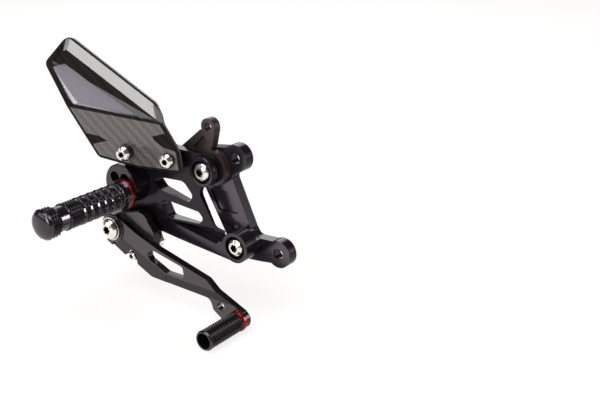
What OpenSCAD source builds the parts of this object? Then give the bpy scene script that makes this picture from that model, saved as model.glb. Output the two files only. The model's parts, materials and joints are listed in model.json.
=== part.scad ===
// Adjustable motorcycle rearset: a frame adapter plate, a machined footrest carrier, a knurled
// footpeg, a carbon heel guard, a master cylinder bracket and a brake pedal.
// +X is forward, +Y is inboard towards the bike, +Z is up. The origin is on the axis of the upper
// frame bolt, in the face of the adapter plate that lies against the frame.
// Every "out" value is a distance outboard of that face, along -Y.

/* [Adapter plate] */
// Thickness of the adapter plate
adapter_t = 8; // [6:0.5:10]
// Forward offset of the lower frame bolt from the upper one
frame_dx = 37; // [34:0.5:40]
// Drop of the lower frame bolt below the upper one
frame_dz = 62.4; // [60:0.2:66]
// Diameter of the spare screw holes
spare_d = 6.8; // [6.5:0.1:7]
// Radius of the two ears round the frame bolts
ear_r = 10; // [8.5:0.5:11]
// Diameter of the frame bolt holes
frame_hole_d = 8.4; // [8.2:0.1:9]
// Depth of the sunk badge field, which is left bare
badge_depth = 1.2; // [0.4:0.2:2]

/* [Carrier bolts] */
// Nominal diameter of the two carrier bolts
carrier_bolt_d = 8; // [7:0.5:9]
// Diameter of the button heads of the carrier bolts
carrier_head_d = 14; // [13:0.5:15]
// Height of the button heads
carrier_head_h = 4.4; // [3.5:0.1:4.6]
// Radial clearance of bolts in their clearance holes
bolt_clear = 0.25; // [0.1:0.05:0.4]
// Radius of the raised rings round the carrier bolts
boss_r = 11; // [10:0.5:11.5]
// Depth of the counterbore in each ring
counterbore_depth = 2.4; // [2:0.2:4]
// Radial gap round a bolt head in its counterbore
counterbore_clear = 1.4; // [0.6:0.1:2]

/* [Master cylinder bracket] */
// Thickness of the master cylinder bracket
bracket_t = 6; // [5:0.5:8]
// Diameter of the two master cylinder holes
cylinder_hole_d = 6.5; // [6.2:0.1:7]
// Depth of the triangular relief in the bracket
relief_depth = 2; // [1:0.25:3]

/* [Footrest carrier] */
// Height of the ring faces above the back of the carrier
boss_h = 11; // [9:0.5:13]
// Thickness of the lower beam
beam_t = 12; // [10:0.5:14]
// Thickness of the web beside the frame bolts
web_t_front = 3; // [2.5:0.25:5]
// Outward rise of the web for each millimetre rearward
web_slope = 0.18; // [0.12:0.01:0.2]
// Distance of the footpeg boss behind the upper carrier bolt
peg_setback = 62.7; // [60:0.1:66]
// Drop of the pedal pivot below the footpeg boss
pivot_drop = 35; // [34:0.5:38]
// Radius of the footpeg boss
peg_boss_r = 15.25; // [14.25:0.25:15.75]
// Outboard height of the footpeg boss above the back of the carrier
peg_boss_h = 28.5; // [26:0.5:30]
// Radius of each of the four lobes of the footpeg adjuster
lobe_r = 4.4; // [4.2:0.1:4.6]
// Offset of each lobe from the middle of the boss, along X and Z
lobe_step = 5; // [4.6:0.1:5.2]

/* [Footpeg] */
// Length of the knurled barrel of the footpeg
peg_barrel_l = 62; // [50:1:75]
// Diameter of the barrel over its knurl
peg_barrel_d = 19.5; // [19:0.5:22]
// Number of smooth grooves turned round the barrel
peg_grooves = 6; // [4:1:7]
// Distance from one smooth groove to the next
peg_groove_pitch = 6.3; // [5.5:0.1:7]
// Width of each smooth groove
peg_groove_w = 1.4; // [0.8:0.1:2.4]
// Depth of each smooth groove
peg_groove_depth = 0.8; // [0.4:0.1:1.5]
// Diameter of the red ring
peg_ring_d = 22.5; // [21:0.5:24]
// Width of the red ring
peg_ring_w = 3.2; // [2:0.2:4]
// Diameter of the end cap
peg_cap_d = 21.8; // [21:0.2:24]
// Length of the end cap
peg_cap_l = 13; // [10:0.5:18]
// Length of the smooth waist between the footpeg's ring and its knurl
peg_root_l = 6.4; // [5:0.2:8]
// How deep that waist is
peg_root_depth = 1; // [0.4:0.2:1.6]
// Diameter of the footpeg's smooth neck behind its cap
peg_neck_d = 17.5; // [14:0.5:18]
// Length of that neck
peg_neck_l = 7.2; // [4:0.2:8]
// Height of the cap's dome
peg_dome_h = 3.4; // [2:0.2:5]

/* [Heel guard] */
// Thickness of the carbon sheet
guard_t = 2; // [1.5:0.25:2.5]
// Turn of the guard about Z, its rear end outboard
guard_turn = 17; // [14:0.5:18]
// Height of the pressed ridge
ridge_h = 3; // [2:0.2:4]
// Depth of the sunk triangle below the guard's face
pocket_depth = 1.1; // [0.6:0.1:1.4]
// Diameter of the guard screws
guard_screw_d = 6; // [5:0.5:6]

/* [Brake pedal] */
// Thickness of the pedal arm
pedal_t = 5.5; // [5:0.5:7]
// Forward distance of the toe peg from the pivot
pedal_reach = 119; // [115:1:130]
// Drop of the toe peg below the pivot
pedal_drop = 39; // [36:0.5:42]
// Radius of the pedal hub
hub_r = 11; // [10:0.5:12]
// Length of the pedal hub along its axis
hub_l = 16.5; // [15:0.5:18]
// Diameter of the bearing journal of the pivot bolt
journal_d = 12; // [11:0.5:13]
// Running clearance of the journal in its bushes, in radius
journal_clear = 0.05; // [0.02:0.01:0.08]
// Wall of the pivot bushes
bush_wall = 1.5; // [1:0.25:2]
// Length of the knurled toe peg
toe_l = 33; // [28:0.5:40]
// Diameter of the toe peg
toe_d = 14.5; // [13:0.25:16]
// Slope of the long bevels along the arm's lower edge, in degrees
bevel_tilt = 8; // [6:1:10]

/* [Hidden] */

round_fn = 64;
arc_steps = 6;
thread_clear = 0.12;

// Centres of the main axes, as [X, Z]
upper_frame = [0, 0];
lower_frame = [frame_dx, -frame_dz];
carrier_upper = [-16.5, -8.5];
carrier_lower = lower_frame + [-24, 4.9];
badge = (carrier_upper + carrier_lower) / 2 + [-8.25, -1];
spare_offset = [-14, 5.2];
beam_end = carrier_upper + [-peg_setback, -18.5];
peg_boss = beam_end + [0, 0.8];
peg_axis = peg_boss + [lobe_step, -lobe_step];
pivot = beam_end + [-10.5, -pivot_drop];
toe_axis = pivot + [pedal_reach, -pedal_drop];
slot_end = toe_axis + [-49.3, 21];
bevel_bend = toe_axis + [-67.9, 15.5];
guard_front = carrier_upper + [-25.2, 5.5];
guard_pitch = 31.7;
guard_rise = 3.2;
stop_point = pivot + [17.1, -18.8];
crank_lobe = pivot + [23.2, 7];
crank_pin = pivot + [32.1, -5.4];
cylinder_upper = carrier_upper + [-2.1, 29.4];
cylinder_lower = carrier_upper + [-33.5, -4.5];

// Distances outboard of the frame face
carrier_back = adapter_t + bracket_t;
ring_face = carrier_back + boss_h;
beam_face = carrier_back + beam_t;
boss_face = carrier_back + peg_boss_h;
web_back = carrier_back + 2.5;
hub_back = 27.5;
hub_face = hub_back + hub_l;
arm_face = hub_face - 1;
arm_back = arm_face - pedal_t;
crank_back = arm_back - 4.5;
stud_tip = beam_face + 0.6;
guard_out = 30;
toe_face = arm_face - 0.9;
toe_back = arm_face + 2.4;
edge = 0.7;
guard_screws = [[0, 0], [-guard_pitch, guard_rise]];
ring_in = 20;

steel = "silver";
black = [0.10, 0.09, 0.10];
red = [0.65, 0.05, 0.05];
carbon = [0.22, 0.22, 0.23];
bronze = [0.55, 0.42, 0.2];

// Extrudes a profile drawn in X and Z between two distances outboard of the frame face
module outboard(from, to) {
    translate([0, -from, 0]) rotate([90, 0, 0]) linear_extrude(to - from) children();
}

// A cylinder along -Y on a centre given as [X, Z]
module pin_out(at, r, from, to, sides = round_fn) {
    translate([at[0], -from, at[1]]) rotate([90, 0, 0]) cylinder(r = r, h = to - from, $fn = sides);
}

// A cylinder along -Y with a chamfer round its outboard edge
module disc_boss(at, r, from, to) {
    turned(at, [[0, from], [r, from], [r, to - edge], [r - edge, to], [0, to]]);
}

// A turned shape on an axis along -Y: its profile is [radius, distance outboard]
module turned(at, profile) {
    translate([at[0], 0, at[1]]) rotate([90, 0, 0]) rotate_extrude($fn = round_fn) polygon(profile);
}

function unit(v) = v / norm(v);

// Points of one corner at p of the path a, p, b, rounded to the radius r
function corner(a, p, b, r) =
    let (u = unit(a - p), v = unit(b - p), half = acos(u * v) / 2,
        reach = min(r / tan(half), 0.49 * norm(a - p), 0.49 * norm(b - p)), rr = reach * tan(half),
        mid = p + unit(u + v) * rr / sin(half), s = p + u * reach - mid, e = p + v * reach - mid,
        sweep = atan2(s[0] * e[1] - s[1] * e[0], s * e))
    r == 0 ? [p] :
    [for (i = [0:arc_steps]) let (t = sweep * i / arc_steps)
        mid + [s[0] * cos(t) - s[1] * sin(t), s[0] * sin(t) + s[1] * cos(t)]];

// A closed outline whose points are [X, Z, corner radius]
function rounded(pts) = let (n = len(pts))
    [for (i = [0:n - 1]) let (a = pts[(i + n - 1) % n], p = pts[i], b = pts[(i + 1) % n])
        each corner([a[0], a[1]], [p[0], p[1]], [b[0], b[1]], p[2])];

// A point of an outline, placed from the anchor c, with its corner radius
function by(c, x, z, r) = [c[0] + x, c[1] + z, r];

module outline(pts) {
    polygon(rounded(pts));
}

module disc(at, r) {
    translate(at) circle(r, $fn = round_fn);
}

// Button head screw along -Y: the underside of the head at seat, the shank reaching in to tip
module button_screw(at, d, head_d, head_h, seat, tip) {
    difference() {
        union() {
            turned(at, [[0, seat], [head_d / 2, seat], [head_d / 2, seat + head_h * 0.3],
                [head_d * 0.42, seat + head_h * 0.72], [head_d * 0.3, seat + head_h], [0, seat + head_h]]);
            pin_out(at, d / 2, tip, seat);
        }
        outboard(seat - 1, seat + head_h + 1) translate(at) star_socket(d * 0.36);
    }
}

// Six-lobed socket outline
module star_socket(r) {
    for (i = [0:2]) {
        rotate(60 * i) square([2 * r, r * 0.72], center = true);
    }
}

// The frame adapter plate
module adapter_outline() {
    outline([[-38, 2, 9], [-9, 6.5, 8], [-3, 8.6, 0], [6, -3, 0], [1, -9, 0], [-3.6, -14, 4],
        by(lower_frame, -24.2, 13.4, 0),
        by(lower_frame, -20.5, 7.8, 7), by(lower_frame, -2, 9, 0), by(lower_frame, 4, -6.6, 0),
        by(lower_frame, -15, -9.3, 3), by(lower_frame, -33, -11, 6), by(lower_frame, -45.2, 1.4, 7),
        [-31.2, -22, 5], [-43, -13, 9]]);
}

module badge_outline() {
    outline([by(badge, -13.8, 7.4, 1), by(badge, 4, 8.4, 1), by(badge, 13, -3.6, 1),
        by(badge, 10.6, -7, 1), by(badge, -6.3, -7.4, 1)]);
}

module adapter_plate() {
    tap_r = carrier_bolt_d / 2 + thread_clear;
    color(black) difference() {
        union() {
            outboard(0, adapter_t) adapter_outline();
            pin_out(upper_frame, ear_r, 0, adapter_t);
            pin_out(lower_frame, ear_r, 0, adapter_t);
        }
        for (at = [upper_frame, lower_frame]) {
            pin_out(at, frame_hole_d / 2, -1, adapter_t + 1);
        }
        for (at = [carrier_upper, carrier_lower]) {
            pin_out(at, tap_r, -1, adapter_t + 1);
            pin_out(at + spare_offset, spare_d / 2, -1, adapter_t + 1);
        }
        outboard(adapter_t - badge_depth, adapter_t + 1) badge_outline();
    }
}

// The master cylinder bracket
module bracket_outline() {
    disc(cylinder_upper, 6.2);
    disc(cylinder_lower, 7);
    disc(carrier_upper, 13);
    outline([by(cylinder_upper, -0.4, -3.9, 0), by(cylinder_upper, -6.9, -2.6, 2),
        by(cylinder_lower, -2, 9, 5), by(cylinder_lower, -7, 0, 0), by(cylinder_lower, 2, -7, 0),
        by(carrier_upper, -9.5, -11.5, 6),
        by(carrier_upper, 4.5, -7.5, 4), by(carrier_upper, 7.5, 4.5, 0),
        by(carrier_upper, -1.5, 9.5, 4), by(cylinder_upper, 3.8, -11.9, 6),
        by(cylinder_upper, 6.2, -1.9, 0)]);
}

module relief_outline() {
    outline([by(carrier_upper, -6.1, 23.5, 1.8), by(carrier_upper, -3.7, 19, 1.8),
        by(carrier_upper, -7.5, 11.3, 1.5), by(carrier_upper, -18, 11.1, 1.5)]);
}

module master_cylinder_bracket() {
    color(black) difference() {
        outboard(adapter_t, carrier_back) bracket_outline();
        for (at = [cylinder_upper, cylinder_lower]) {
            pin_out(at, cylinder_hole_d / 2, adapter_t - 1, carrier_back + 1);
        }
        pin_out(carrier_upper, carrier_bolt_d / 2 + bolt_clear, adapter_t - 1, carrier_back + 1);
        pin_out(carrier_upper + spare_offset, 3 + bolt_clear, adapter_t - 1, carrier_back + 1);
        pin_out(carrier_upper + spare_offset, 5.2, carrier_back - 3.2, carrier_back + 1);
        outboard(carrier_back - relief_depth, carrier_back + 1) relief_outline();
    }
}

module bracket_screw() {
    color(steel) difference() {
        turned(carrier_upper + spare_offset, [[0, 1], [3, 1], [3, carrier_back - 3.2],
            [5, carrier_back - 3.2], [5, carrier_back - 0.3], [0, carrier_back - 0.3]]);
        outboard(carrier_back - 2.2, carrier_back)
            translate(carrier_upper + spare_offset) circle(2, $fn = 6);
    }
}

module carrier_spacer() {
    color(black) difference() {
        pin_out(carrier_lower, boss_r - 2, adapter_t, carrier_back);
        pin_out(carrier_lower, carrier_bolt_d / 2 + bolt_clear, adapter_t - 1, carrier_back + 1);
    }
}

// The machined footrest carrier
module web_outline() {
    disc(carrier_upper, boss_r);
    disc(carrier_lower, boss_r);
    disc(peg_boss, peg_boss_r);
    outline([by(carrier_upper, 2.5, 10.7, 3), by(carrier_upper, -7.5, 11.1, 8),
        by(carrier_upper, -27.5, 12.5, 6), by(beam_end, -0.8, 33, 7), by(beam_end, -4.8, 19, 4),
        by(beam_end, -15.3, 2, 0),
        by(pivot, -7.3, 17, 10), by(pivot, -10.8, 0, 0), by(pivot, 7.7, -9, 0),
        by(pivot, 27.7, 0.4, 5), by(carrier_lower, -43, -7.1, 0), by(carrier_lower, 0, -10.5, 0),
        by(carrier_lower, 7, 5.5, 0), by(carrier_lower, -11, 5, 2), by(carrier_lower, -24.5, 7, 5),
        by(carrier_upper, -7, -18.5, 6), by(carrier_upper, -2.5, -8.5, 2)]);
}

module upper_slot() {
    outline([by(beam_end, 15.2, 5, 2.5), by(beam_end, 27.2, 7, 8), by(beam_end, 43.2, 7, 6),
        by(beam_end, 50.7, -3, 4), by(beam_end, 47.2, -8.4, 3.5),
        by(beam_end, 22.2, -2.4, 6)]);
}

module middle_slot() {
    outline([by(beam_end, 22.7, -11, 2.5), by(beam_end, 29.2, -9.8, 3),
        by(beam_end, 54.7, -14.3, 3), by(beam_end, 58.4, -19, 3), by(beam_end, 55.2, -23.4, 2.5),
        by(beam_end, 28.7, -23, 3)]);
}

module beam_pocket() {
    outline([by(carrier_lower, -60, 5.5, 0), by(carrier_lower, -37, 5.7, 0),
        by(carrier_lower, -22, 5.7, 3), by(carrier_lower, -13, 2.3, 3), by(carrier_lower, -17, -1.1, 2.5),
        by(carrier_lower, -41, 2.7, 0)]);
}

module beam_outline() {
    disc(carrier_lower, boss_r);
    outline([by(pivot, -6.3, 12, 4), by(pivot, 27.2, 24.4, 0), by(beam_end, 25.2, -24.5, 3),
        by(carrier_lower, -41, 3.5, 0), by(carrier_lower, -13, 1.5, 0), by(carrier_lower, 1, 7.5, 0),
        by(carrier_lower, 0, -10.5, 0), by(carrier_lower, -43, -7.1, 0), by(pivot, 27.7, 0.4, 5),
        by(pivot, 7.7, -9, 0)]);
}

// The part of the web that stays clear of the pedal hub and crank
module pedal_room() {
    outline([by(pivot, -20.3, 19, 0), by(pivot, 27.7, 19, 0), by(pivot, 33.7, -18, 0),
        by(pivot, -20.3, -18, 0)]);
}

// Everything further outboard than the slanted face of the web
module beyond_web() {
    lift = carrier_back + web_t_front + 2.5;
    translate([carrier_upper[0] - 3.5, -lift, 0]) rotate([0, 0, atan(web_slope)])
        translate([-150, -60, -100]) cube([250, 60, 200]);
}

module footrest_carrier() {
    hole_r = carrier_bolt_d / 2 + bolt_clear;
    head_r = carrier_head_d / 2 + counterbore_clear;
    color(black) difference() {
        union() {
            difference() {
                outboard(web_back, boss_face) web_outline();
                beyond_web();
                outboard(hub_back - 1, boss_face + 1) pedal_room();
            }
            outboard(carrier_back, beam_face) beam_outline();
            disc_boss(carrier_upper, boss_r, ring_in, ring_face);
            pin_out(carrier_upper, boss_r - 2, carrier_back, ring_in);
            disc_boss(carrier_lower, boss_r, carrier_back, ring_face);
            disc_boss(peg_boss, peg_boss_r, carrier_back, boss_face);
            pin_out(pivot, hub_r + 0.5, carrier_back, hub_back - 1);
            outboard(carrier_back, hub_back - 1) outline([by(pivot, -8.3, 7, 0),
                by(pivot, 5.7, -10, 0), by(pivot, 13.7, -23, 4),
                by(pivot, 22.7, -18, 4), by(pivot, 19.7, 0, 6), by(pivot, 9.7, 14, 0)]);
        }
        outboard(carrier_back - 1, boss_face) {
            upper_slot();
            middle_slot();
        }
        outboard(carrier_back + 4, beam_face + 1) beam_pocket();
        for (at = [carrier_upper, carrier_lower]) {
            pin_out(at, hole_r, carrier_back - 1, ring_face + 1);
            pin_out(at, head_r, ring_face - counterbore_depth, ring_face + 3);
        }
        for (i = [-1, 1], k = [-1, 1]) {
            pin_out(peg_boss + lobe_step * [i, k], lobe_r, carrier_back - 1, boss_face + 1);
        }
        pin_out(peg_boss, lobe_r, carrier_back - 1, boss_face + 1);
        pin_out(pivot, journal_d / 2 - 2 + thread_clear, carrier_back - 1, hub_back);
        pin_out(stop_point, 2.5 + thread_clear, carrier_back - 1, hub_back);
        on_guard() for (at = guard_screws) {
            pin_out(at, guard_screw_d / 2 + thread_clear, -40, 1);
        }
    }
}

module carrier_bolt(at) {
    color(steel) button_screw(at, carrier_bolt_d, carrier_head_d, carrier_head_h,
        ring_face - counterbore_depth, 1);
}

// Moves a shape from the frame of the heel guard to its place: X along the guard, Y inboard
module on_guard() {
    translate([guard_front[0], -guard_out, guard_front[1]]) rotate([0, 0, guard_turn]) children();
}

module guard_outline() {
    outline([[-92.4, 62.2, 5], [-71.3, 83.6, 8], [-6.7, 40.8, 9], [-2.7, 32.4, 8], [-1.6, 26, 8],
        [9.6, 7.4, 10], [11.6, -9.4, 8], [-4, -7.9, 0], [-24, -7.9, 30], [-54.8, -3.4, 6],
        [-77.5, 32, 30]]);
}

// The raised ridge starts on the first outline and rises to its crest, the second one
module ridge_base() {
    outline([[-86.3, 63.5, 1], [-75.6, 77.6, 3], [-71.5, 81.6, 4], [-8.6, 40.2, 6], [-4, 34.6, 5],
        [-1.1, 26.1, 1], [-19.4, 29, 0], [-73.7, 63.4, 0], [-84.8, 61.1, 1]]);
}

module ridge_crest() {
    outline([[-82.1, 64.1, 0], [-74.4, 72.4, 0], [-71.4, 73.4, 0], [-5.6, 30.1, 0], [-6.2, 29.7, 0],
        [-71.4, 72.6, 0], [-74.2, 71.6, 0], [-81.4, 63.8, 0]]);
}

// The sunk triangle narrows from its mouth to its floor
module pocket_mouth() {
    outline([[-73.7, 63.4, 0], [-86.1, 59.8, 1], [-72.2, 34.1, 2], [-19.4, 29, 0]]);
}

module pocket_floor() {
    outline([[-73.6, 62.5, 0], [-75.8, 58.4, 0], [-70.7, 37.2, 1], [-68.6, 35.1, 1],
        [-21.1, 28.9, 0]]);
}

module guard_slab(from, h) {
    translate([0, -from, 0]) rotate([90, 0, 0]) linear_extrude(h) children();
}

module heel_guard() {
    thin = 0.01;
    color(carbon) on_guard() difference() {
        union() {
            guard_slab(0, guard_t) guard_outline();
            intersection() {
                hull() {
                    guard_slab(guard_t - thin, thin) ridge_base();
                    guard_slab(guard_t + ridge_h - thin, thin) ridge_crest();
                }
                guard_slab(guard_t - 1, ridge_h + 1) ridge_base();
            }
        }
        hull() {
            guard_slab(guard_t, thin) pocket_mouth();
            guard_slab(guard_t - pocket_depth, thin) pocket_floor();
        }
        for (at = guard_screws) {
            pin_out(at, guard_screw_d / 2 + bolt_clear, -1, guard_t + 1);
        }
    }
}

// A spacer from the slanted face of the web to the back of the guard
module guard_spacer(at) {
    color(black) intersection() {
        on_guard() difference() {
            pin_out(at, 5, -20, 0);
            pin_out(at, guard_screw_d / 2 + bolt_clear, -21, 1);
        }
        beyond_web();
    }
}

module guard_collar(at, height) {
    color(black) on_guard() difference() {
        pin_out(at, 5.6, guard_t, guard_t + height);
        pin_out(at, guard_screw_d / 2 + bolt_clear, guard_t - 1, guard_t + height + 1);
    }
}

module guard_screw(at, height, grip) {
    color(steel) on_guard() button_screw(at, guard_screw_d, 10.5, 3.3, guard_t + height, -grip);
}

// The footpeg
module peg_bolt() {
    color(steel) difference() {
        union() {
            pin_out(peg_axis, carrier_bolt_d / 2, carrier_back, boss_face + peg_ring_w + 30);
            pin_out(peg_axis, 6.5, carrier_back - 4.6, carrier_back - 1.6);
            pin_out(peg_axis, carrier_bolt_d / 2, carrier_back - 2, carrier_back + 1);
        }
        outboard(carrier_back - 6, carrier_back - 2.4) translate(peg_axis) circle(2.9, $fn = 6);
    }
}

module peg_washer() {
    color(steel) difference() {
        pin_out(peg_axis, 8.5, carrier_back - 1.6, carrier_back);
        pin_out(peg_axis, carrier_bolt_d / 2 + bolt_clear, carrier_back - 3, carrier_back + 1);
    }
}

module peg_ring() {
    r = peg_ring_d / 2;
    a = boss_face;
    b = boss_face + peg_ring_w;
    bore = carrier_bolt_d / 2 + bolt_clear;
    color(red) turned(peg_axis, [[bore, a], [r - 0.6, a], [r, a + 0.6], [r, b - 0.6], [r - 0.6, b],
        [bore, b]]);
}

// Profile of one smooth groove with sloping sides, as [radius, distance outboard]
function groove(r, at) =
    let (half = peg_groove_w / 2, low = r - peg_groove_depth, run = peg_groove_depth / 2)
    [[r, at - half - run], [low, at - half], [low, at + half], [r, at + half + run]];

module footpeg() {
    a = boss_face + peg_ring_w;
    r = peg_barrel_d / 2;
    base = peg_ring_d / 2 - 0.6;
    first = a + 10.4;
    end = a + peg_barrel_l;
    shoulder = end - peg_neck_l;
    neck = peg_neck_d / 2;
    color(black) difference() {
        turned(peg_axis, concat([[0, a]],
            [for (i = [0:8]) let (t = i / 8)
                [base + (r - base) * t - peg_root_depth * sin(180 * t), a + peg_root_l * t]],
            [for (i = [0:peg_grooves - 1]) each groove(r, first + i * peg_groove_pitch)],
            [[r, shoulder - 0.5], [r - 0.5, shoulder], [neck, shoulder], [neck, end], [0, end]]));
        pin_out(peg_axis, carrier_bolt_d / 2, a - 1, a + 31);
    }
}

module peg_end_cap() {
    a = boss_face + peg_ring_w + peg_barrel_l;
    r = peg_cap_d / 2;
    rim = a + peg_cap_l - peg_dome_h;
    color(black) turned(peg_axis, concat([[0, a], [r - 1.6, a], [r, a + 1.6], [r, rim - 0.8]],
        [for (i = [0:6]) [(r - 0.8) * cos(15 * i), rim + peg_dome_h * sin(15 * i)]]));
}

// The pedal pivot
module pivot_bolt() {
    head_seat = hub_face + 1.8;
    color(steel) difference() {
        union() {
            pin_out(pivot, journal_d / 2, hub_back - 1, head_seat);
            pin_out(pivot, journal_d / 2 - 2, carrier_back, hub_back);
            turned(pivot, [[0, head_seat], [7.4, head_seat], [7.4, head_seat + 1], [6.2, head_seat + 3],
                [4.4, head_seat + 3.8], [0, head_seat + 3.8]]);
        }
        outboard(head_seat - 0.5, head_seat + 5) translate(pivot) star_socket(3.2);
    }
}

module pivot_washer() {
    color(steel) difference() {
        pin_out(pivot, 8.8, hub_face + 0.3, hub_face + 1.8);
        pin_out(pivot, journal_d / 2, hub_face, hub_face + 3);
    }
}

module pivot_thrust_washer() {
    color(bronze) difference() {
        pin_out(pivot, hub_r - 1, hub_back - 1, hub_back - 0.3);
        pin_out(pivot, journal_d / 2, hub_back - 2, hub_back);
    }
}

module pedal_stop_screw() {
    color(steel) button_screw(stop_point, 5, 7.6, 3, arm_face - 3, carrier_back + 2);
}

// Everything outboard of a plane that starts on the arm's face along the line p to q and slopes inward
module bevel_cut(p, q) {
    heading = atan2(q[1] - p[1], q[0] - p[0]);
    translate([p[0], -arm_face, p[1]]) rotate([0, -heading, 0]) rotate([bevel_tilt, 0, 0])
        translate([-8, -20, -30]) cube([norm(q - p) + 8, 20, 30]);
}

// The brake pedal
module arm_outline() {
    disc(pivot, hub_r);
    difference() {
        outline([by(pivot, 3.7, 10.3, 0), by(pivot, 23.2, 1.4, 6), by(slot_end, -25, 12.2, 8),
            by(toe_axis, -28.3, 22.4, 5), by(toe_axis, -20.3, 15.8, 8),
            by(toe_axis, 3.2, 6.2, 0), by(toe_axis, 5.7, -4, 0), by(toe_axis, -3.3, -6.4, 0),
            by(toe_axis, -14.9, -4.6, 6), by(toe_axis, -23.4, 0.6, 4),
            by(toe_axis, -25.9, 8.4, 6), by(slot_end, -14.6, -12, 6), by(slot_end, -34, -12.4, 6),
            by(pivot, 21.7, -24.3, 2), by(pivot, 21.6, -13, 4),
            by(pivot, 11.4, -15.1, 4), by(pivot, 9.5, -20.4, 1), by(pivot, -7.5, -11.6, 0)]);
        outline([by(slot_end, -35.8, 5.6, 2.5), by(slot_end, -30.6, 10.4, 4),
            by(slot_end, -1, 4.8, 3), by(slot_end, 0.2, -4.4, 3.5),
            by(slot_end, -18, -4.6, 6), by(slot_end, -33.5, 1.8, 4)]);
    }
    disc(toe_axis, 6.6);
}

module toe_outline() {
    intersection() {
        arm_outline();
        translate(toe_axis + [-27, -19]) square([50, 28.3]);
    }
}

module crank_outline() {
    disc(pivot, hub_r);
    disc(crank_lobe, 9.4);
    disc(crank_pin, 5.6);
    outline([by(pivot, 1.7, 11, 0), by(pivot, 20.7, 15.8, 0), by(pivot, 29.7, 13, 0),
        by(pivot, 36.9, 4, 0), by(pivot, 37.7, -4, 0), by(pivot, 32.7, -11, 0),
        by(pivot, 3.7, -10.4, 0)]);
}

module brake_pedal() {
    bore_r = journal_d / 2 + journal_clear + bush_wall;
    color(black) difference() {
        union() {
            difference() {
                outboard(arm_back, arm_face) arm_outline();
                bevel_cut(pivot + [9.9, -6.1], bevel_bend);
                bevel_cut(bevel_bend, bevel_bend + [98, 0]);
            }
            outboard(arm_back, toe_face) toe_outline();
            disc_boss(pivot, hub_r, hub_back, hub_face);
            outboard(crank_back, arm_back + 1) crank_outline();
        }
        pin_out(pivot, bore_r, hub_back - 1, hub_face + 1);
        pin_out(crank_pin, 3, hub_back - 1, arm_back);
        pin_out(toe_axis + [-16.3, 5.3], 3.2, arm_back - 1, arm_face + 1);
        pin_out(toe_axis, 3.2, arm_back - 1, arm_face + 1);
        pin_out(toe_axis, 4.8, arm_back - 1, arm_back + 2.6);
    }
}

module pivot_bush(from, to) {
    color(bronze) difference() {
        pin_out(pivot, journal_d / 2 + journal_clear + bush_wall, from, to);
        pin_out(pivot, journal_d / 2 + journal_clear, from - 1, to + 1);
    }
}

module pushrod_pin() {
    color(steel) pin_out(crank_pin, 3, stud_tip, arm_back - 0.5);
}

module pushrod_nut() {
    color(steel) difference() {
        outboard(crank_back - 5, crank_back) translate(crank_pin) circle(5.6, $fn = 6);
        pin_out(crank_pin, 3, crank_back - 6, crank_back + 1);
    }
}

module toe_ring() {
    r = toe_d / 2 + 0.2;
    color(red) difference() {
        turned(toe_axis, [[0, toe_face], [r - 0.8, toe_face], [r, toe_face + 0.8], [r, toe_back - 0.8],
            [r - 0.8, toe_back], [0, toe_back]]);
        pin_out(toe_axis, 3.2, toe_face - 1, toe_back + 1);
    }
}

module toe_peg() {
    tip = toe_back + toe_l;
    color(black) difference() {
        turned(toe_axis, [[0, toe_back], [toe_d / 2, toe_back], [toe_d / 2, tip - 0.6],
            [toe_d / 2 - 0.6, tip], [0, tip]]);
        pin_out(toe_axis, 3, toe_back - 1, tip);
        pin_out(toe_axis, toe_d / 2 - 1.7, toe_back + 10, tip + 1);
    }
}

module toe_bolt() {
    color(steel) difference() {
        union() {
            pin_out(toe_axis, 3, arm_back, arm_face + 16);
            pin_out(toe_axis, 4.6, arm_back, arm_back + 2.6);
        }
        outboard(arm_back - 1, arm_back + 1.6) translate(toe_axis) circle(2.3, $fn = 6);
    }
}

adapter_plate();
master_cylinder_bracket();
bracket_screw();
carrier_spacer();
footrest_carrier();
carrier_bolt(carrier_upper);  // carrier_bolt_upper
carrier_bolt(carrier_lower);  // carrier_bolt_lower
heel_guard();
guard_spacer(guard_screws[0]);  // guard_spacer_front
guard_spacer(guard_screws[1]);  // guard_spacer_rear
guard_collar(guard_screws[0], 1.5);  // guard_collar_front
guard_collar(guard_screws[1], 5);  // guard_collar_rear
guard_screw(guard_screws[0], 1.5, 11);  // guard_screw_front
guard_screw(guard_screws[1], 5, 18);  // guard_screw_rear
peg_bolt();
peg_washer();
peg_ring();
footpeg();
peg_end_cap();
pivot_bolt();
pivot_washer();
pivot_thrust_washer();
pedal_stop_screw();
brake_pedal();
pivot_bush(hub_face - 6, hub_face);  // pivot_bush_outer
pivot_bush(hub_back, hub_back + 6);  // pivot_bush_inner
pushrod_pin();
pushrod_nut();
toe_ring();
toe_peg();
toe_bolt();
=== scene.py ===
"""Studio scene of a motorcycle rearset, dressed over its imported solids.

X runs forward, Y inboard and Z up. Sizes of the object are in millimetres, those of the studio in metres.
"""
import json
import math

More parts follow.
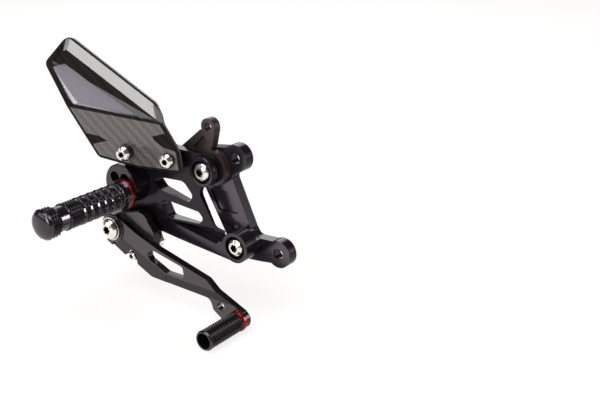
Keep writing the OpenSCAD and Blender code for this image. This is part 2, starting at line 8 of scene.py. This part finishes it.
import bpy
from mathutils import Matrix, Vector


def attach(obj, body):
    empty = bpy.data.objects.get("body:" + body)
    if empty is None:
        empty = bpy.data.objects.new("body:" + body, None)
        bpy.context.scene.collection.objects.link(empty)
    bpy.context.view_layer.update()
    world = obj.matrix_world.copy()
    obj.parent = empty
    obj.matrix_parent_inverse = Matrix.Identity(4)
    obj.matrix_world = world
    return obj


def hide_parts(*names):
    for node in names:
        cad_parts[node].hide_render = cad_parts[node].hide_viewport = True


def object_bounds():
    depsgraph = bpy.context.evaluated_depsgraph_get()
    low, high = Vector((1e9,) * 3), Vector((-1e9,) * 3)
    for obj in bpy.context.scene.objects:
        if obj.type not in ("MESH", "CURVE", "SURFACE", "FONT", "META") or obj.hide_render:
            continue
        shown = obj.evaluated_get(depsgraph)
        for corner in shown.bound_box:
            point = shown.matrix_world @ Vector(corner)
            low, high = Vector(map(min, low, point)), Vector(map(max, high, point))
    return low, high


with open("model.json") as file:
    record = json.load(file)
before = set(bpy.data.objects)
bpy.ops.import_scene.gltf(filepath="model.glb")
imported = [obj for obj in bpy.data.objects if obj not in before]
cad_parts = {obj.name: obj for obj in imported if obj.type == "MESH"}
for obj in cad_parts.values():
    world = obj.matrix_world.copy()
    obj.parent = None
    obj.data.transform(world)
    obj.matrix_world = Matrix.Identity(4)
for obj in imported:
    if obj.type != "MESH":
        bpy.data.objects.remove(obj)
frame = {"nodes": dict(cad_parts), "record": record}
cad_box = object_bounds()
MM = 0.001
FORWARD, OUTBOARD = (1, 0, 0), (0, -1, 0)

# The plane of the heel guard: its turn about Z, and its front screw, from which its outlines are measured
GUARD_TURN = math.radians(17.0)
GUARD_FRONT = (-41.7, -30.0, -3.0)

# Which way its face looks, and which way its ridge leans. The slope behind the ridge leans the other way
GUARD_FACES = (math.sin(GUARD_TURN), -math.cos(GUARD_TURN), 0)
RIDGE_FACES = (0.55 * math.cos(GUARD_TURN), 0.55 * math.sin(GUARD_TURN), 0.835)

# Convex outlines in that plane, anticlockwise, as distances along and up: the sunk triangle, where a
# reflection is painted, all that lies above the line below it, the field within the rim, and two hollows near
# the edges.
# Shade is painted above that line, on the rim and in the hollows
TRIANGLE = [(-73.7, 63.4), (-86.1, 59.8), (-75.4, 38.0), (-71.0, 34.1), (-19.4, 29.2)]
RAISED = [(-1.1, 25.0), (60.0, 100.0), (-60.0, 120.0), (-120.0, 60.0), (-110.0, 40.5), (-76.0, 31.3)]
FIELD = [(-53.9, -1.8), (-24.0, -6.5), (8.4, -6.7), (6.9, 6.5), (-4.0, 24.6), (-34.0, 72.0), (-98.5, 67.8)]
HOLLOW_REAR = [(-66.0, 14.0), (-60.5, 5.2), (-45.8, 9.6), (-53.8, 12.8)]
HOLLOW_FRONT = [(-11.5, 16.4), (-9.3, 13.4), (-3.3, 9.2), (8.0, 6.5), (8.0, 12.0), (-0.8, 19.9)]

# How wide the edges of those outlines fade, and the radius to which the guard's sharp edges are rounded
OUTLINE_BLUR, GUARD_EDGE = 0.4, 1.2

# Width of the guard's tows, and the colours of its cloth where the weft and where the warp lies on top. The
# next
# pairs are painted shade: one for its darkened zones, which its back wears too, and one for the slope behind
# its ridge. Then the ridge's painted highlight and the triangle's painted reflection
TOW = 2.0
CLOTH = (0.024, 0.018, 0.017), (0.08, 0.064, 0.059)
PAINTED_SHADE_AND_BACK_CLOTH = (0.002, 0.002, 0.002), (0.009, 0.007, 0.007)
PAINTED_SHADE_SLOPE_CLOTH = (0.016, 0.013, 0.012), (0.034, 0.029, 0.027)
PAINTED_HIGHLIGHT_RIDGE_COLOUR = (0.11, 0.1, 0.1)
PAINTED_REFLECTION_TRIANGLE_COLOUR = (0.17, 0.165, 0.19)

# Colours of the metals, and the violet tint of the gloss on what is anodised
BLACK = (0.006, 0.0045, 0.006)
DEEP_BLACK = (0.003, 0.0025, 0.003)
# The lever's bevels are painted shade, a darker copy of its face's colour
PAINTED_SHADE_LEVER_BEVEL_COLOUR, LEVER_FACE_COLOUR = (0.003, 0.0022, 0.0025), (0.012, 0.009, 0.009)
STEEL = (0.86, 0.83, 0.79)
# Painted shade in the sockets of the screws
PAINTED_SHADE_SOCKET_COLOUR = (0.03, 0.02, 0.015)
ANODISED = (1.0, 0.86, 0.97)

# Bounds that tell faces apart by how far they face a direction: outboard for the flat faces of the milled
# pieces and of the lever, forward for the carrier's slanted web and for ends, and the guard's own two
MILLED_FACE, LEVER_FACE = (0.985, 0.995), (0.9915, 0.998)
SLANTED, END = (0.08, 0.16), (0.45, 0.8)
ON_RIDGE, GUARD_SIDE = (0.1, 0.2), (-0.5, -0.1)

# Bounds of openness in corners, and in the sockets of screws where shade is painted, and how far around is
# looked for each
CORNER, CORNER_REACH = (0.45, 0.95), 1.6
SOCKET, SOCKET_REACH = (0.6, 0.92), 2.5

# Specular levels: Blender's own, those of the lever's bevels and flat face, and the share that ends keep
PLAIN_LEVEL = 0.5
LEVER_BEVEL_LEVEL, LEVER_FACE_LEVEL = 0.25, 0.65
END_SHARE = 0.25

# Samples of the nodes that look around a point
BEVEL_SAMPLES, OCCLUSION_SAMPLES = 6, 8


def feed(tree, socket, value):
    """Links a socket to another node's output, or sets it to a number, a vector or a colour."""
    if isinstance(value, bpy.types.NodeSocket):
        tree.links.new(value, socket)
    elif socket.type == "RGBA":
        socket.default_value = (*value, 1)
    else:
        socket.default_value = value


def feed_all(tree, target, values):
    """Feeds the sockets of a node, each by its name."""
    for name, value in values.items():
        feed(tree, target.inputs[name], value)


def node(tree, kind, **values):
    """A new node. Each value goes to the socket of its name, or else to the node's setting."""
    made = tree.nodes.new(kind)
    for name, value in values.items():
        if name in made.inputs:
            feed(tree, made.inputs[name], value)
        else:
            setattr(made, name, value)
    return made


def main_shader(material):
    return material.node_tree.nodes["Principled BSDF"]


def new_material(name):
    """A new material, with its node tree and its main shader."""
    material = bpy.data.materials.new(name)
    material.use_nodes = True
    return material, material.node_tree, main_shader(material)


def calc(tree, operation, *values):
    """The result of a calculation with numbers and other nodes' outputs."""
    made = node(tree, "ShaderNodeMath", operation=operation)
    for socket, value in zip(made.inputs, values):
        feed(tree, socket, value)
    return made.outputs["Value"]


def between(tree, share, first, second):
    """The first number where the share is 0, and the second where it is 1."""
    return calc(tree, "MULTIPLY_ADD", share, second - first, first)


def ramp(tree, value, low, high):
    """0 up to the low value and 1 from the high one, smooth between them."""
    made = node(tree, "ShaderNodeMapRange", interpolation_type="SMOOTHSTEP")
    feed_all(tree, made, {"Value": value, "From Min": low, "From Max": high})
    return made.outputs["Result"]


def blend(tree, share, first, second):
    """The first colour where the share is 0, and the second where it is 1."""
    made = node(tree, "ShaderNodeMix", data_type="RGBA")
    feed_all(tree, made, {"Factor": share, "A": first, "B": second})
    return made.outputs["Result"]


def mix_shaders(tree, share, first, second):
    """The first shader where the share is 0, and the second where it is 1."""
    made = tree.nodes.new("ShaderNodeMixShader")
    for socket, source in zip(made.inputs, (share, first, second)):
        tree.links.new(source, socket)
    return made.outputs["Shader"]


def facing(tree, direction):
    """1 where the surface faces a direction, 0 where it lies along it and -1 where it faces away."""
    geometry = tree.nodes.new("ShaderNodeNewGeometry")
    made = node(tree, "ShaderNodeVectorMath", operation="DOT_PRODUCT")
    tree.links.new(geometry.outputs["True Normal"], made.inputs[0])
    made.inputs[1].default_value = direction
    return made.outputs["Value"]


def openness(tree, reach, low, high):
    """0 in corners and holes, and 1 where nothing of the piece stands within reach."""
    occlusion = node(tree, "ShaderNodeAmbientOcclusion", samples=OCCLUSION_SAMPLES, Distance=reach * MM)
    return ramp(tree, occlusion.outputs["AO"], low, high)


def rounded(tree, radius, bump=None):
    """Normals that round the sharp edges of a piece, over its bump."""
    made = node(tree, "ShaderNodeBevel", samples=BEVEL_SAMPLES, Radius=radius * MM)
    if bump is not None:
        tree.links.new(bump, made.inputs["Normal"])
    return made.outputs["Normal"]


def grain(tree):
    """The fine bump of a machined surface."""
    coords = tree.nodes.new("ShaderNodeTexCoord")
    noise = node(tree, "ShaderNodeTexNoise", Vector=coords.outputs["Object"], Scale=1800, Detail=3.0,
                 Roughness=0.6)
    bump = node(tree, "ShaderNodeBump", Height=noise.outputs["Fac"], Strength=0.04, Distance=0.1 * MM)
    return bump.outputs["Normal"]


def metal(name, colour, roughness, ior, edge, metallic=0.0, tint=(1, 1, 1)):
    """A metal finish. The edge is the radius to which sharp edges are rounded."""
    material, tree, shader = new_material(name)
    feed_all(tree, shader, {"Base Color": colour, "Specular Tint": tint, "Metallic": metallic,
                            "Roughness": roughness, "IOR": ior, "Normal": rounded(tree, edge, grain(tree))})
    return material


def shade_lever(material):
    """Paints shade on the lever's bevels, darker than its flat outboard face, and leaves them duller."""
    tree = material.node_tree
    flat = ramp(tree, facing(tree, OUTBOARD), *LEVER_FACE)
    feed_all(tree, main_shader(material), {
        "Base Color": blend(tree, flat, PAINTED_SHADE_LEVER_BEVEL_COLOUR, LEVER_FACE_COLOUR),
        "Specular IOR Level": between(tree, flat, LEVER_BEVEL_LEVEL, LEVER_FACE_LEVEL)})


def shade_milled(material, face_level=PLAIN_LEVEL, slant_share=1.0):
    """Sets the shine of a milled piece by its faces: its level on the outboard ones, and the share of it that
    slanted ones keep. Corners and forward ends are duller."""
    tree = material.node_tree
    outboard = ramp(tree, facing(tree, OUTBOARD), *MILLED_FACE)
    slanted = ramp(tree, facing(tree, FORWARD), *SLANTED)
    end = ramp(tree, facing(tree, FORWARD), *END)
    level = between(tree, outboard, PLAIN_LEVEL, face_level)
    level = calc(tree, "MULTIPLY", level, openness(tree, CORNER_REACH, *CORNER))
    level = calc(tree, "MULTIPLY", level, between(tree, slanted, 1.0, slant_share))
    level = calc(tree, "MULTIPLY", level, between(tree, end, 1.0, END_SHARE))
    feed(tree, main_shader(material).inputs["Specular IOR Level"], level)


def shade_steel(material):
    """Paints shade into the sockets of the screws, by how enclosed they are."""
    tree = material.node_tree
    feed(tree, main_shader(material).inputs["Base Color"],
         blend(tree, openness(tree, SOCKET_REACH, *SOCKET), PAINTED_SHADE_SOCKET_COLOUR, STEEL))


def guard_plane(tree):
    """Places in the plane of the heel guard: along it and up, in millimetres from its front screw."""
    coords = tree.nodes.new("ShaderNodeTexCoord")
    mapping = node(tree, "ShaderNodeMapping", vector_type="TEXTURE", Vector=coords.outputs["Object"],
                   Location=[v * MM for v in GUARD_FRONT], Rotation=(0, 0, GUARD_TURN), Scale=(MM, MM, MM))
    parts = node(tree, "ShaderNodeSeparateXYZ", Vector=mapping.outputs["Vector"])
    return parts.outputs["X"], parts.outputs["Z"]


def inside(tree, place, corners):
    """1 inside an outline of the guard's plane, and 0 outside it."""
    along, up = place
    depth = None
    for (x0, z0), (x1, z1) in zip(corners, corners[1:] + corners[:1]):
        length = math.hypot(x1 - x0, z1 - z0)
        a, b = (z0 - z1) / length, (x1 - x0) / length
        from_edge = calc(tree, "MULTIPLY_ADD", up, b, calc(tree, "MULTIPLY_ADD", along, a, -a * x0 - b * z0))
        depth = from_edge if depth is None else calc(tree, "MINIMUM", depth, from_edge)
    return ramp(tree, depth, 0.0, OUTLINE_BLUR)


def tow_round(tree, place):
    """The round of the tows across a place counted in tows: 0 at their sides and 1 along their middles."""
    side = calc(tree, "MULTIPLY_ADD", calc(tree, "FRACT", place), 2.0, -1.0)
    return calc(tree, "SUBTRACT", 1.0, calc(tree, "MULTIPLY", side, side))


def weave(tree, place):
    """Two by two twill: how far its colour goes to the warp's, mostly where the warp lies on top and the rest
    with the height of the cloth, and that height."""
    across, rise = (calc(tree, "DIVIDE", distance, TOW) for distance in place)
    crossing = calc(tree, "ADD", calc(tree, "FLOOR", across), calc(tree, "FLOOR", rise))
    warp_on_top = calc(tree, "LESS_THAN", calc(tree, "FLOORED_MODULO", crossing, 4.0), 2.0)
    weft_on_top = calc(tree, "SUBTRACT", 1.0, warp_on_top)
    height = calc(tree, "ADD", calc(tree, "MULTIPLY", warp_on_top, tow_round(tree, across)),
                  calc(tree, "MULTIPLY", weft_on_top, tow_round(tree, rise)))
    return calc(tree, "MULTIPLY_ADD", warp_on_top, 0.6, calc(tree, "MULTIPLY", height, 0.4)), height


def twill(name):
    """Lacquered twill of the heel guard, with painted shade on its rim, in its hollows, above the line below
    the triangle and on the slope behind its ridge, a painted highlight on its ridge and a painted reflection
    in the triangle; plain on its back, in the darker cloth."""
    material, tree, shader = new_material(name)
    place = guard_plane(tree)
    warp_share, height = weave(tree, place)
    cloth = blend(tree, warp_share, *CLOTH)
    painted_shade_and_back_cloth = blend(tree, warp_share, *PAINTED_SHADE_AND_BACK_CLOTH)
    painted_shade_slope_cloth = blend(tree, warp_share, *PAINTED_SHADE_SLOPE_CLOTH)

    lean = facing(tree, RIDGE_FACES)
    ridge = ramp(tree, lean, *ON_RIDGE)
    slope = ramp(tree, calc(tree, "MULTIPLY", lean, -1.0), *ON_RIDGE)
    front = ramp(tree, facing(tree, GUARD_FACES), *GUARD_SIDE)

    rim = calc(tree, "SUBTRACT", 1.0, inside(tree, place, FIELD))
    hollows = calc(tree, "MAXIMUM", inside(tree, place, HOLLOW_REAR), inside(tree, place, HOLLOW_FRONT))
    dark = calc(tree, "MAXIMUM", rim, calc(tree, "MAXIMUM", inside(tree, place, RAISED), hollows))
    # Painted shade: the rim, all above the line below the triangle and the hollows take the darker cloth
    colour = blend(tree, dark, cloth, painted_shade_and_back_cloth)
    # Painted shade on the slope behind the ridge
    colour = blend(tree, slope, colour, painted_shade_slope_cloth)
    # Painted highlight on the ridge
    colour = blend(tree, ridge, colour, PAINTED_HIGHLIGHT_RIDGE_COLOUR)
    # Painted reflection, pale and bluish, in the triangle
    colour = blend(tree, inside(tree, place, TRIANGLE), colour, PAINTED_REFLECTION_TRIANGLE_COLOUR)
    colour = blend(tree, front, painted_shade_and_back_cloth, colour)

    # On the front, where shade is painted the lacquer is nearly gone, but not on the ridge and its slope
    gloss = between(tree, calc(tree, "MULTIPLY", dark, front), 1.0, 0.1)
    gloss = calc(tree, "MAXIMUM", gloss, calc(tree, "MAXIMUM", ridge, slope))
    bump = node(tree, "ShaderNodeBump", Height=height, Strength=0.3, Distance=0.3 * MM)
    feed_all(tree, shader, {
        "Base Color": colour, "Roughness": 0.45,
        "Specular IOR Level": calc(tree, "MULTIPLY", gloss, PLAIN_LEVEL),
        "Normal": rounded(tree, GUARD_EDGE, bump.outputs["Normal"]),
        "Coat Weight": gloss, "Coat Roughness": 0.05, "Coat Normal": rounded(tree, GUARD_EDGE)})
    return material


# Finishes, each with its colour, roughness, index of refraction and edge radius
black = metal("black anodised aluminium", BLACK, 0.18, 1.6, 0.3, tint=ANODISED)
plate = metal("black anodised plate", BLACK, 0.2, 1.55, 0.1, tint=ANODISED)
brushed = metal("black anodised, brushed", (0.026, 0.016, 0.017), 0.35, 1.5, 0.1, tint=ANODISED)
carrier = metal("black anodised carrier", BLACK, 0.18, 1.6, 0.3, tint=ANODISED)
lever = metal("black anodised lever", BLACK, 0.25, 1.6, 0.3, tint=ANODISED)
knurled = metal("black anodised knurl", DEEP_BLACK, 0.2, 1.33, 0.1, tint=ANODISED)
turned = metal("black anodised, turned", (0.004, 0.0035, 0.004), 0.16, 1.6, 0.2, tint=ANODISED)
groove = metal("black anodised groove", DEEP_BLACK, 0.12, 1.8, 0.1)
red = metal("red anodised aluminium", (0.2, 0.007, 0.01), 0.2, 1.6, 0.3, metallic=0.85)
steel = metal("stainless steel", STEEL, 0.2, 1.5, 0.1, metallic=1.0)
bronze = metal("bearing bronze", (0.45, 0.3, 0.13), 0.35, 1.5, 0.3, metallic=1.0)
carbon = twill("carbon twill")
shade_lever(lever)
shade_milled(plate, face_level=1.0)
shade_milled(brushed, face_level=0.7)
shade_milled(carrier, slant_share=0.5)
shade_steel(steel)

# What each solid wears: a finish of its own, or the one of its slot in the record
OWN_FINISH = {"adapter_plate": plate, "master_cylinder_bracket": brushed, "brake_pedal": lever,
              "footrest_carrier": carrier}
SLOT_FINISH = {"black": black, "red": red, "steel": steel, "carbon": carbon, "bronze": bronze}
slot_of = {entry["node"]: entry["material_slot"] for entry in frame["record"]["subparts"]}
for name, item in frame["nodes"].items():
    for material_slot in item.material_slots:
        material_slot.material = OWN_FINISH.get(name, SLOT_FINISH[slot_of[name]])

# Mesh steps across one tooth of a knurl, along the piece and around it, and the depth of the knurl
STEPS = 6
KNURL_DEPTH = 1.0

# What a stretch of a turned profile is, which is also its material slot
TURNED, KNURLED, GROOVE = 0, 1, 2


def knurl(along, around):
    """Height of a diamond knurl from 0 in its grooves to 1 at its tips, both places counted in teeth."""
    return min(1 - abs(2 * ((along + side * around) % 1) - 1) for side in (1, -1))


def knurl_rings(profile, pitch):
    """The profile with the rings that the teeth on its knurled stretches need."""
    step = pitch / STEPS
    rings = []
    for (start, radius, kind), (stop, next_radius, _) in zip(profile, profile[1:]):
        rings.append((start, radius, kind))
        if kind == KNURLED:
            for k in range(math.floor(start / step) + 1, math.ceil(stop / step)):
                share = (k * step - start) / (stop - start)
                rings.append((k * step, radius + (next_radius - radius) * share, kind))
    return rings + [profile[-1]]


def turned_piece(name, replaced, centre, profile, teeth, pitch):
    """A turned piece on an axis that runs outboard through a centre in X and Z. Each point of its profile is
    (distance outboard, radius, what the stretch to the next point is)."""
    sides = teeth * STEPS
    rings = knurl_rings(profile, pitch)
    radii = [[radius - (KNURL_DEPTH * (1 - knurl(out / pitch, j / STEPS)) if kind == KNURLED else 0)
              for j in range(sides)] for out, radius, kind in rings]
    verts = []
    for (out, _, _), row in zip(rings, radii):
        for j, radius in enumerate(row):
            turn = 2 * math.pi * j / sides
            verts.append(((centre[0] + radius * math.cos(turn)) * MM, -out * MM,
                          (centre[1] + radius * math.sin(turn)) * MM))

    # Each square of the mesh is cut along its lower diagonal, so that the knurl's grooves run on unbroken
    faces, kinds = [], []
    for i, (_, _, kind) in enumerate(rings[:-1]):
        for j in range(sides):
            k = (j + 1) % sides
            a, b, c, d = i * sides + j, i * sides + k, (i + 1) * sides + k, (i + 1) * sides + j
            if radii[i][j] + radii[i + 1][k] < radii[i][k] + radii[i + 1][j]:
                faces += [(a, b, c), (a, c, d)]
            else:
                faces += [(a, b, d), (b, c, d)]
            kinds += [kind, kind]
    last = (len(rings) - 1) * sides
    faces += [tuple(range(sides - 1, -1, -1)), tuple(range(last, last + sides))]
    kinds += [TURNED, TURNED]

    mesh = bpy.data.meshes.new(name)
    mesh.from_pydata(verts, [], faces)
    mesh.update()
    for material in (turned, knurled, groove):
        mesh.materials.append(material)
    mesh.polygons.foreach_set("material_index", kinds)
    mesh.polygons.foreach_set("use_smooth", [True] * len(mesh.polygons))
    mesh.set_sharp_from_angle(angle=math.radians(24))
    piece = bpy.data.objects.new(name, mesh)
    bpy.context.collection.objects.link(piece)
    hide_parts(replaced)
    return piece


# The footpeg's barrel, from its red ring outwards
PEG = (-74.2, -31.2)
PEG_START, PEG_R, PEG_L = 45.7, 9.75, 62.0

# Its smooth waist, where it starts with the ring's radius
WAIST_R, WAIST_L, WAIST_DEPTH, WAIST_POINTS = 10.65, 6.4, 1.0, 16

# Its smooth grooves: the first one's middle, and the width of their floors and of their slopes
GROOVES, GROOVE_AT, GROOVE_PITCH = 6, 10.4, 6.3
GROOVE_W, GROOVE_SLOPE, GROOVE_DEPTH = 1.4, 0.4, 0.8

# The neck before its end cap
NECK_R, NECK_L, SHOULDER = 8.75, 7.2, 0.5

barrel = []
for i in range(WAIST_POINTS + 1):
    t = i / WAIST_POINTS
    radius = WAIST_R + (PEG_R - WAIST_R) * t - WAIST_DEPTH * math.sin(math.pi * t)
    barrel.append((PEG_START + WAIST_L * t, radius, KNURLED if i == WAIST_POINTS else TURNED))
for i in range(GROOVES):
    middle = PEG_START + GROOVE_AT + GROOVE_PITCH * i
    floor_half, half = GROOVE_W / 2, GROOVE_W / 2 + GROOVE_SLOPE
    barrel += [(middle - half, PEG_R, TURNED), (middle - floor_half, PEG_R - GROOVE_DEPTH, GROOVE),
               (middle + floor_half, PEG_R - GROOVE_DEPTH, TURNED), (middle + half, PEG_R, KNURLED)]
barrel_end = PEG_START + PEG_L
neck_start = barrel_end - NECK_L
barrel += [(neck_start - SHOULDER, PEG_R, TURNED), (neck_start, PEG_R - SHOULDER, TURNED),
           (neck_start, NECK_R, TURNED), (barrel_end, NECK_R, TURNED)]
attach(turned_piece("knurled_footpeg", "footpeg", PEG, barrel, teeth=12, pitch=2.1), "root")

# The end cap, with its dome from a small step within the knurl
CAP_R, CAP_L, CAP_SEAT_R, CAP_CHAMFER = 10.9, 13.0, 7.0, 1.6
DOME, DOME_STEP, DOME_POINTS = 3.4, 0.8, 12
dome_start = barrel_end + CAP_L - DOME
cap = [(barrel_end, CAP_SEAT_R, TURNED), (barrel_end, CAP_R - CAP_CHAMFER, TURNED),
       (barrel_end + CAP_CHAMFER, CAP_R, KNURLED), (dome_start - DOME_STEP, CAP_R, TURNED)]
for i in range(DOME_POINTS):
    turn = math.radians(90 / DOME_POINTS * i)
    cap.append((dome_start + DOME * math.sin(turn), (CAP_R - DOME_STEP) * math.cos(turn), TURNED))
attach(turned_piece("knurled_end_cap", "peg_end_cap", PEG, cap, teeth=13, pitch=2.2), "root")

# The toe peg, with its bore from the tip and the hole for its bolt
TOE = (29.3, -101.0)
TOE_START, TOE_R, TOE_L = 45.4, 7.25, 33.0
TOE_WALL, TOE_FLOOR, TOE_BOLT_R = 1.7, 10.0, 3.1
TOE_CHAMFER, TOE_CHAMFER_L = 0.7, 1.0
tip, bore_r = TOE_START + TOE_L, TOE_R - TOE_WALL
toe = [(TOE_START, TOE_BOLT_R, TURNED), (TOE_START, TOE_R - TOE_CHAMFER, TURNED),
       (TOE_START + TOE_CHAMFER_L, TOE_R, KNURLED), (tip - TOE_CHAMFER_L, TOE_R, TURNED),
       (tip, TOE_R - TOE_CHAMFER, TURNED), (tip, bore_r, TURNED),
       (TOE_START + TOE_FLOOR, bore_r, TURNED), (TOE_START + TOE_FLOOR, TOE_BOLT_R, TURNED)]
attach(turned_piece("knurled_toe_peg", "toe_peg", TOE, toe, teeth=9, pitch=2.2), "pedal")


def aimed(name, data, place, direction):
    """An object for a light or a camera, at a place and looking in a direction."""
    item = bpy.data.objects.new(name, data)
    bpy.context.collection.objects.link(item)
    item.location = place
    item.rotation_euler = Vector(direction).to_track_quat("-Z", "Y").to_euler()
    return item


# Soft light from the ceiling
sun = bpy.data.lights.new("ceiling", "SUN")
sun.energy = 2.6
sun.angle = math.radians(50)
aimed("ceiling", sun, (0, 0, 0), (0.0, 0.3, -1))

# Softboxes: where each stands, what it looks at, its size and its power. The right one draws the glints in the
# grooves of the footpeg
MIDDLE = (-0.03, -0.06, -0.02)
SOFTBOXES = {
    "softbox behind left": ((-0.72, 0.85, 0.52), MIDDLE, (0.9, 0.7), 4),
    "softbox right": ((0.86, 0.64, 0.22), (-0.074, -0.075, -0.03), (0.2, 0.5), 7),
    "softbox front right": ((0.07, -0.89, 0.3), (-0.075, -0.038, 0.04), (0.4, 0.5), 5),
    "softbox front left": ((-0.69, -0.97, 0.4), MIDDLE, (0.8, 0.6), 2.5),
}
for name, (place, target, size, power) in SOFTBOXES.items():
    light = bpy.data.lights.new(name, "AREA")
    light.shape = "RECTANGLE"
    light.size, light.size_y = size
    light.energy = power
    aimed(name, light, place, Vector(target) - Vector(place))

# White paper floor, just below the object. It glows for the camera and in reflections, in these shares
FLOOR_SIZE, FLOOR_GAP = 8, 0.0005
CAMERA_GLOW, GLOSSY_GLOW = 0.82, 0.7
WARM_WHITE = (1, 0.97, 0.95)
bpy.ops.mesh.primitive_plane_add(size=FLOOR_SIZE, location=(0, 0, cad_box[0][2] - FLOOR_GAP))
floor = bpy.context.object
floor.name = "floor"
paper, tree, shader = new_material("white paper")
feed_all(tree, shader, {"Base Color": (0.9, 0.885, 0.87), "Roughness": 0.9, "Specular IOR Level": 0.1})
glow = node(tree, "ShaderNodeEmission", Color=(1, 0.995, 0.99), Strength=1.0)
rays = tree.nodes.new("ShaderNodeLightPath")
glow_share = calc(tree, "MAXIMUM", calc(tree, "MULTIPLY", rays.outputs["Is Camera Ray"], CAMERA_GLOW),
                  calc(tree, "MULTIPLY", rays.outputs["Is Glossy Ray"], GLOSSY_GLOW))
glowing = mix_shaders(tree, glow_share, shader.outputs["BSDF"], glow.outputs["Emission"])

# In reflections the paper ends behind the object and a dim room follows, so that its forward sides stay dark
PAPER_END = 0.25, 0.6
room = node(tree, "ShaderNodeEmission", Color=WARM_WHITE, Strength=0.03)
geometry = tree.nodes.new("ShaderNodeNewGeometry")
parts = node(tree, "ShaderNodeSeparateXYZ", Vector=geometry.outputs["Position"])
past_paper = calc(tree, "MULTIPLY", ramp(tree, parts.outputs["Y"], *PAPER_END), rays.outputs["Is Glossy Ray"])
surface = mix_shaders(tree, past_paper, glowing, room.outputs["Emission"])
tree.links.new(surface, tree.nodes["Material Output"].inputs["Surface"])
floor.data.materials.append(paper)

# A world that is white to the camera and dim for all else
world = bpy.context.scene.world or bpy.data.worlds.new("studio")
bpy.context.scene.world = world
world.use_nodes = True
tree = world.node_tree
tree.nodes.clear()
rays = tree.nodes.new("ShaderNodeLightPath")
seen = node(tree, "ShaderNodeBackground", Color=(1, 1, 1), Strength=1.0)
lit = node(tree, "ShaderNodeBackground", Color=WARM_WHITE, Strength=0.08)
output = tree.nodes.new("ShaderNodeOutputWorld")
backdrop = mix_shaders(tree, rays.outputs["Is Camera Ray"],
                       lit.outputs["Background"], seen.outputs["Background"])
tree.links.new(backdrop, output.inputs["Surface"])

# The camera, at the photograph's viewing angle
lens = bpy.data.cameras.new("camera")
lens.sensor_width = 36
lens.lens = 57
lens.clip_start = 0.01
bpy.context.scene.camera = aimed("camera", lens, (0.4046, -0.4810, 0.2108), (-0.553, 0.750, -0.362))
bpy.context.scene.view_settings.view_transform = "Standard"
